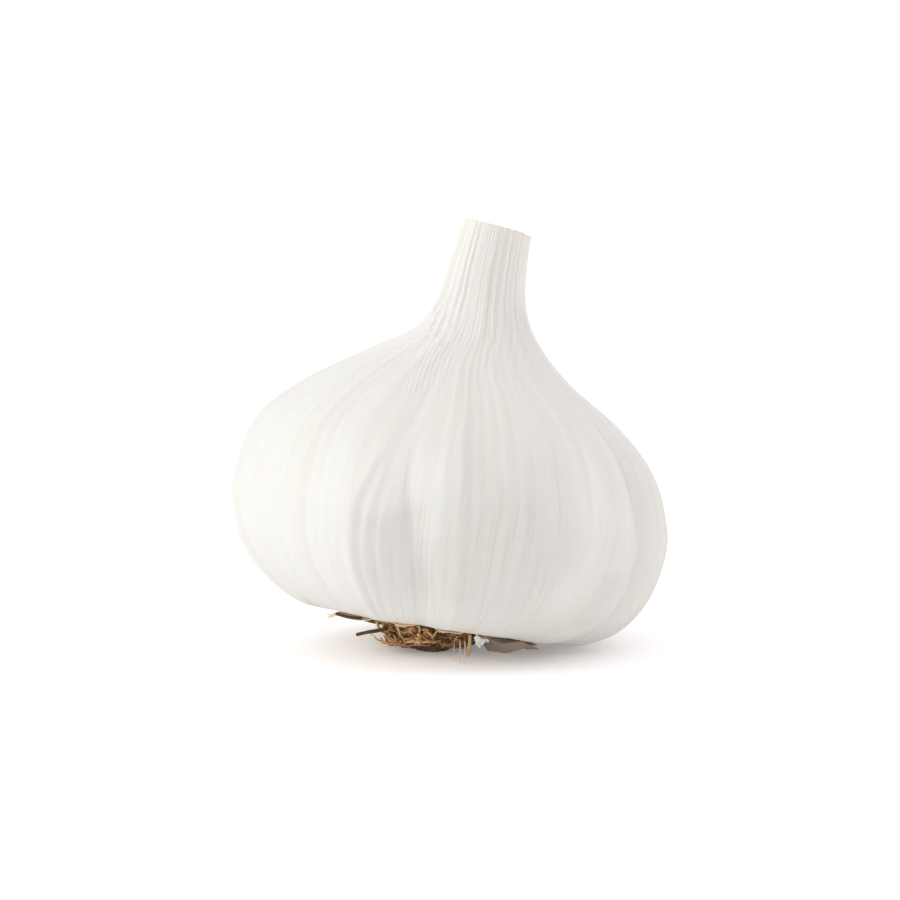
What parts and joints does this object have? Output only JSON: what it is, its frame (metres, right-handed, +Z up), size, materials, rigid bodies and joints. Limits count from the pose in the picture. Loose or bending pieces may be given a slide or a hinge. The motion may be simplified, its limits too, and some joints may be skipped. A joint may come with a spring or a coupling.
{
  "type": "garlic bulb",
  "caption": "Whole dry white garlic bulb, its neck cut short and its roots trimmed, leaning at rest on its roots and two cloves.",
  "frame": {"origin": "middle of the root tuft's flat foot, on the surface that the bulb rests on", "axes": "+Z up, the front of the bulb faces -Y, and its neck leans towards +X and +Y"},
  "size_m": [0.0584, 0.0586, 0.0578],
  "materials": {
    "papery_skin": "satin, finely ribbed",
    "dry_roots": "matte, fibrous"
  },
  "bodies": {
    "root": {"bulb": "papery_skin", "root_tuft": "dry_roots"}
  },
  "joints": []
}
